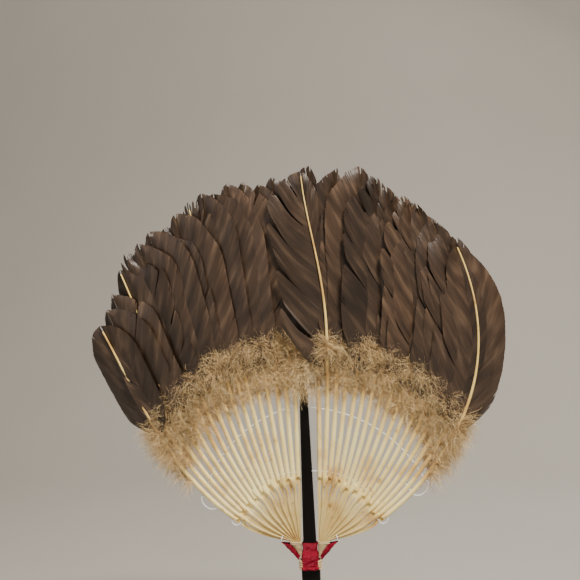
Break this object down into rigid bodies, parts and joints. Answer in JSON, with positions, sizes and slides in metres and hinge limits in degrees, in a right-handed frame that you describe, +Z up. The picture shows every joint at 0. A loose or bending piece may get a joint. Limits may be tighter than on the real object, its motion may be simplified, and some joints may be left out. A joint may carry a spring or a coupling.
{
  "type": "feather hand fan",
  "caption": "Feather hand fan: two banks of laced quills with broad brown webs, spread from a bound neck on a black lacquered stick.",
  "frame": {"origin": "centre of the handle's grip, on the stick's centre line", "axes": "+Z up the stick towards the feather tips, +X to the right seen from the front, -Y is the front"},
  "size_m": [0.3826, 0.0327, 0.5046],
  "materials": {
    "lacquered_wood": "black lacquer, gloss, lightly worn",
    "quill": "bare cream to tan keratin, satin",
    "feather_web": "brown feather barbs, satin sheen",
    "down": "tan downy barbs, fluffy",
    "collar_thread": "cream cotton thread, matte",
    "lacing_line": "white twisted nylon line",
    "binding_cord": "cream cotton cord, matte",
    "tan_cloth": "stiff tan cloth, creased",
    "red_cloth": "crimson cloth, creased"
  },
  "bodies": {
    "root": {"back_cover": "red_cloth", "binding_cord": "binding_cord", "cover_hems": "red_cloth", "front_cover": "red_cloth", "gusset_rings": "lacing_line", "handle": "lacquered_wood", "left_collar": "collar_thread", "left_cup": "tan_cloth", "left_down": "down", "left_gusset": "red_cloth", "left_quill_01": "quill", "left_quill_02": "quill", "left_quill_03": "quill", "left_quill_04": "quill", "left_quill_05": "quill", "left_quill_06": "quill", "left_quill_07": "quill", "left_quill_08": "quill", "left_quill_09": "quill", "left_quill_10": "quill", "left_quill_11": "quill", "left_quill_12": "quill", "left_quill_13": "quill", "left_quill_14": "quill", "left_quill_15": "quill", "left_quill_16": "quill", "left_quill_17": "quill", "left_vanes_1": "feather_web", "left_vanes_2": "feather_web", "left_vanes_3": "feather_web", "left_vanes_4": "feather_web", "left_vanes_5": "feather_web", "lower_lacing_wire": "lacing_line", "right_collar": "collar_thread", "right_cup": "tan_cloth", "right_down": "down", "right_gusset": "red_cloth", "right_quill_01": "quill", "right_quill_02": "quill", "right_quill_03": "quill", "right_quill_04": "quill", "right_quill_05": "quill", "right_quill_06": "quill", "right_quill_07": "quill", "right_quill_08": "quill", "right_quill_09": "quill", "right_quill_10": "quill", "right_quill_11": "quill", "right_quill_12": "quill", "right_quill_13": "quill", "right_quill_14": "quill", "right_quill_15": "quill", "right_quill_16": "quill", "right_quill_17": "quill", "right_vanes_1": "feather_web", "right_vanes_2": "feather_web", "right_vanes_3": "feather_web", "right_vanes_4": "feather_web", "right_vanes_5": "feather_web", "upper_lacing_wire": "lacing_line"}
  },
  "joints": []
}
